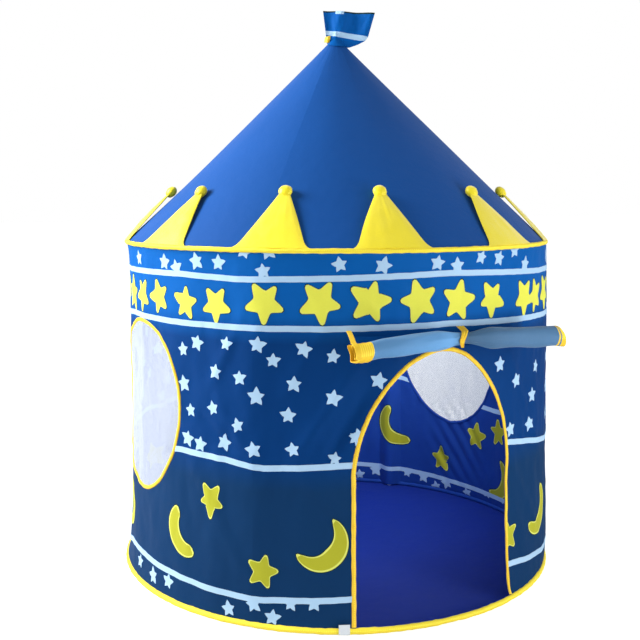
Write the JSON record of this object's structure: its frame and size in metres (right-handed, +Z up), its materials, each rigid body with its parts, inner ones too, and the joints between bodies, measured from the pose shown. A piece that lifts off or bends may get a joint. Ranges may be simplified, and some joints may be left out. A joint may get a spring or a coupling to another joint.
{
  "type": "kids play tent",
  "caption": "Round castle play tent: printed cloth wall on two spring hoops, cone roof on jointed legs, crown points, net windows, arched door with roll-up curtain.",
  "frame": {"origin": "middle of the floor sheet's underside, on the ground", "axes": "+Z up, -Y out through the doorway, +X to the right for someone facing the doorway"},
  "size_m": [1.0616, 1.1081, 1.366],
  "materials": {
    "print_cloth": "printed polyester, soft sheen",
    "roof_cloth": "plain polyester, soft sheen",
    "floor_cloth": "coated polyester, matt",
    "yellow_cloth": "woven tape and satin, soft sheen",
    "window_net": "fine see-through net",
    "label_cloth": "plain woven tape",
    "spring_steel": "drawn wire",
    "fibreglass_rod": "smooth pultruded rod",
    "moulded_fitting": "moulded, fine grain"
  },
  "bodies": {
    "tent": {"floor_sheet": "floor_cloth", "base_hoop": "spring_steel", "base_binding": "yellow_cloth", "eave_hoop": "spring_steel", "eave_binding": "yellow_cloth", "wall_front": "print_cloth", "wall_left": "print_cloth", "wall_right": "print_cloth", "wall_back": "print_cloth", "window_net_left": "window_net", "window_net_right": "window_net", "window_binding_left": "yellow_cloth", "window_binding_right": "yellow_cloth", "door_binding": "yellow_cloth", "roof_gore_front": "roof_cloth", "roof_gore_left": "roof_cloth", "roof_gore_right": "roof_cloth", "roof_gore_back": "roof_cloth", "wall_rod_front_left": "fibreglass_rod", "elbow_front_left": "moulded_fitting", "roof_rod_front_left": "fibreglass_rod", "wall_rod_front_right": "fibreglass_rod", "elbow_front_right": "moulded_fitting", "roof_rod_front_right": "fibreglass_rod", "wall_rod_back_right": "fibreglass_rod", "elbow_back_right": "moulded_fitting", "roof_rod_back_right": "fibreglass_rod", "wall_rod_back_left": "fibreglass_rod", "elbow_back_left": "moulded_fitting", "roof_rod_back_left": "fibreglass_rod", "apex_hub": "moulded_fitting", "label_patch": "label_cloth"},
    "door_curtain_edge": {"door_curtain": "print_cloth"},
    "door_roll": {"door_roll": "print_cloth"},
    "center_tie": {"center_tie": "yellow_cloth"},
    "side_strap": {"side_strap": "yellow_cloth"},
    "flag": {"flag": "print_cloth", "flag_ribbon": "yellow_cloth"},
    "crown_01": {"crown_point_01": "yellow_cloth", "crown_ball_01": "yellow_cloth"},
    "crown_02": {"crown_point_02": "yellow_cloth", "crown_ball_02": "yellow_cloth"},
    "crown_03": {"crown_point_03": "yellow_cloth", "crown_ball_03": "yellow_cloth"},
    "crown_04": {"crown_point_04": "yellow_cloth", "crown_ball_04": "yellow_cloth"},
    "crown_05": {"crown_point_05": "yellow_cloth", "crown_ball_05": "yellow_cloth"},
    "crown_06": {"crown_point_06": "yellow_cloth", "crown_ball_06": "yellow_cloth"},
    "crown_07": {"crown_point_07": "yellow_cloth", "crown_ball_07": "yellow_cloth"},
    "crown_08": {"crown_point_08": "yellow_cloth", "crown_ball_08": "yellow_cloth"},
    "crown_09": {"crown_point_09": "yellow_cloth", "crown_ball_09": "yellow_cloth"},
    "crown_10": {"crown_point_10": "yellow_cloth", "crown_ball_10": "yellow_cloth"},
    "crown_11": {"crown_point_11": "yellow_cloth", "crown_ball_11": "yellow_cloth"}
  },
  "joints": [
    {"name": "door_unroll", "type": "slide", "parent": "tent", "child": "door_curtain_edge", "axis": [0, 0, -1], "range_m": [0, 0.53], "deforming": ["door_curtain"]},
    {"name": "door_roll_spin", "type": "hinge", "parent": "door_curtain_edge", "child": "door_roll", "pos_m": [0, -0.5513, 0.583], "axis": [1, 0, 0], "range_deg": [0, 1241]},
    {"name": "center_tie_flip", "type": "hinge", "parent": "tent", "child": "center_tie", "pos_m": [0.02, -0.52531, 0.614], "axis": [-1, 0, 0], "range_deg": [0, 110]},
    {"name": "side_strap_flip", "type": "hinge", "parent": "tent", "child": "side_strap", "pos_m": [-0.222, -0.47914, 0.614], "axis": [-1, 0, 0], "range_deg": [0, 80]},
    {"name": "flag_swivel", "type": "hinge", "parent": "tent", "child": "flag", "pos_m": [0, 0, 1.2966], "axis": [0, 0, 1], "range_deg": [-90, 90]},
    {"name": "crown_flip_01", "type": "hinge", "parent": "tent", "child": "crown_01", "pos_m": [-0.50047, 0.14445, 0.79015], "axis": [-0.2773, -0.9608, 0], "range_deg": [0, 120]},
    {"name": "crown_flip_02", "type": "hinge", "parent": "tent", "child": "crown_02", "pos_m": [-0.49912, -0.14905, 0.79015], "axis": [0.2861, -0.9582, 0], "range_deg": [0, 120]},
    {"name": "crown_flip_03", "type": "hinge", "parent": "tent", "child": "crown_03", "pos_m": [-0.34155, -0.39329, 0.79015], "axis": [0.755, -0.6557, 0], "range_deg": [0, 120]},
    {"name": "crown_flip_04", "type": "hinge", "parent": "tent", "child": "crown_04", "pos_m": [-0.11565, -0.5079, 0.79015], "axis": [0.975, -0.222, 0], "range_deg": [0, 120]},
    {"name": "crown_flip_05", "type": "hinge", "parent": "tent", "child": "crown_05", "pos_m": [0.19398, -0.48343, 0.79015], "axis": [0.9281, 0.3724, 0], "range_deg": [0, 120]},
    {"name": "crown_flip_06", "type": "hinge", "parent": "tent", "child": "crown_06", "pos_m": [0.42107, -0.30664, 0.79015], "axis": [0.5887, 0.8084, 0], "range_deg": [0, 120]},
    {"name": "crown_flip_07", "type": "hinge", "parent": "tent", "child": "crown_07", "pos_m": [0.52033, -0.02437, 0.79015], "axis": [0.0468, 0.9989, 0], "range_deg": [0, 120]},
    {"name": "crown_flip_08", "type": "hinge", "parent": "tent", "child": "crown_08", "pos_m": [0.44789, 0.26594, 0.79015], "axis": [-0.5105, 0.8599, 0], "range_deg": [0, 120]},
    {"name": "crown_flip_09", "type": "hinge", "parent": "tent", "child": "crown_09", "pos_m": [0.22768, 0.46851, 0.79015], "axis": [-0.8994, 0.4371, 0], "range_deg": [0, 120]},
    {"name": "crown_flip_10", "type": "hinge", "parent": "tent", "child": "crown_10", "pos_m": [-0.06766, 0.51648, 0.79015], "axis": [-0.9915, -0.1299, 0], "range_deg": [0, 120]},
    {"name": "crown_flip_11", "type": "hinge", "parent": "tent", "child": "crown_11", "pos_m": [-0.34068, 0.39405, 0.79015], "axis": [-0.7565, -0.654, 0], "range_deg": [0, 120]}
  ],
  "couplings": [
    {"joint": "door_roll_spin", "follows": "door_unroll", "rad_per_m": 40.816}
  ]
}
